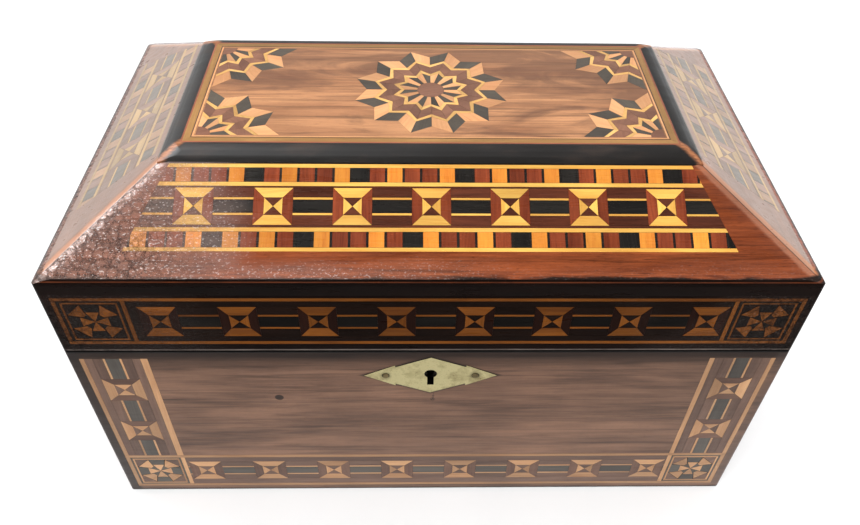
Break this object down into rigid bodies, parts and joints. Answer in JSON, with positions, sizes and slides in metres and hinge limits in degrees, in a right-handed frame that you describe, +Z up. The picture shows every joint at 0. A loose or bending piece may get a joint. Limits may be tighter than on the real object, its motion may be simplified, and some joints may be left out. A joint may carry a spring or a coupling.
{
  "type": "tea caddy",
  "caption": "Hip-lidded wooden tea caddy with parquetry bands and stars, hinged lid, lock, two foil-lined tea compartments and a glass mixing bowl.",
  "frame": {"origin": "middle of the baize underside the caddy stands on", "axes": "+X to the right along the long side, -Y towards the front with the keyhole, +Z up"},
  "size_m": [0.3, 0.1856, 0.178],
  "materials": {
    "pine": "planed softwood carcase",
    "walnut_veneer": "old French polish, satin",
    "rosewood": "old shellac, glossy and crazed in places",
    "marquetry": "inlaid boxwood, ebony and rosewood under shellac",
    "ebonised": "ebonised, glossy",
    "baize": "felted",
    "velvet": "pile",
    "tea_foil": "dull lead-grey foil",
    "brass": "worn and pale",
    "steel": "old steel",
    "bone": "polished, turned bone",
    "glass": "clear"
  },
  "bodies": {
    "base": {"baize": "baize", "base_back_board": "pine", "base_back_veneer": "walnut_veneer", "base_bottom_band": "marquetry", "base_end_veneers": "walnut_veneer", "base_front_board": "pine", "base_front_veneer": "walnut_veneer", "base_left_board": "pine", "base_right_board": "pine", "base_rim_strips": "rosewood", "base_side_bands": "marquetry", "bottom_board": "pine", "compartment_seats": "rosewood", "escutcheon": "brass", "escutcheon_pins": "brass", "hinge_base_leaves": "brass", "hinge_base_screws": "steel", "hinge_pins": "steel", "left_foil_lining": "tea_foil", "lock_case": "steel", "lock_screws": "steel", "lock_spring": "steel", "partitions": "pine", "right_foil_lining": "tea_foil", "well_board": "rosewood", "well_collar": "rosewood"},
    "lid": {"back_slope_band": "marquetry", "back_slope_veneer": "rosewood", "front_slope_band": "marquetry", "front_slope_veneer": "rosewood", "hinge_lid_leaves": "brass", "hinge_lid_screws": "steel", "left_slope_band": "marquetry", "left_slope_veneer": "rosewood", "lid_back_rail": "rosewood", "lid_back_veneer": "rosewood", "lid_eave_edging": "rosewood", "lid_end_veneers": "rosewood", "lid_front_band": "marquetry", "lid_front_rail": "rosewood", "lid_front_veneer": "rosewood", "lid_left_rail": "rosewood", "lid_lining": "velvet", "lid_right_rail": "rosewood", "lid_rim_strips": "rosewood", "link_plate": "brass", "link_screws": "steel", "right_slope_band": "marquetry", "right_slope_veneer": "rosewood", "slope_boards": "pine", "top_board": "pine", "top_moulding": "ebonised", "top_stars": "marquetry", "top_veneer": "rosewood"},
    "lock_bolt": {"lock_bolt": "steel"},
    "left_canister_lid": {"left_caddy_lid": "rosewood", "left_lid_knob": "bone"},
    "right_canister_lid": {"right_caddy_lid": "rosewood", "right_lid_knob": "bone"},
    "mixing_bowl": {"mixing_bowl": "glass"}
  },
  "joints": [
    {"name": "lid_hinge", "type": "hinge", "parent": "base", "child": "lid", "pos_m": [0, 0.0926, 0.1103], "axis": [-1, 0, 0], "range_deg": [0, 100]},
    {"name": "bolt_slide", "type": "slide", "parent": "base", "child": "lock_bolt", "axis": [1, 0, 0], "range_m": [0, 0.006]},
    {"name": "left_lid_lift", "type": "slide", "parent": "base", "child": "left_canister_lid", "axis": [0, 0, 1], "range_m": [0, 0.024]},
    {"name": "right_lid_lift", "type": "slide", "parent": "base", "child": "right_canister_lid", "axis": [0, 0, 1], "range_m": [0, 0.024]},
    {"name": "bowl_lift", "type": "slide", "parent": "base", "child": "mixing_bowl", "axis": [0, 0, 1], "range_m": [0, 0.036]}
  ]
}
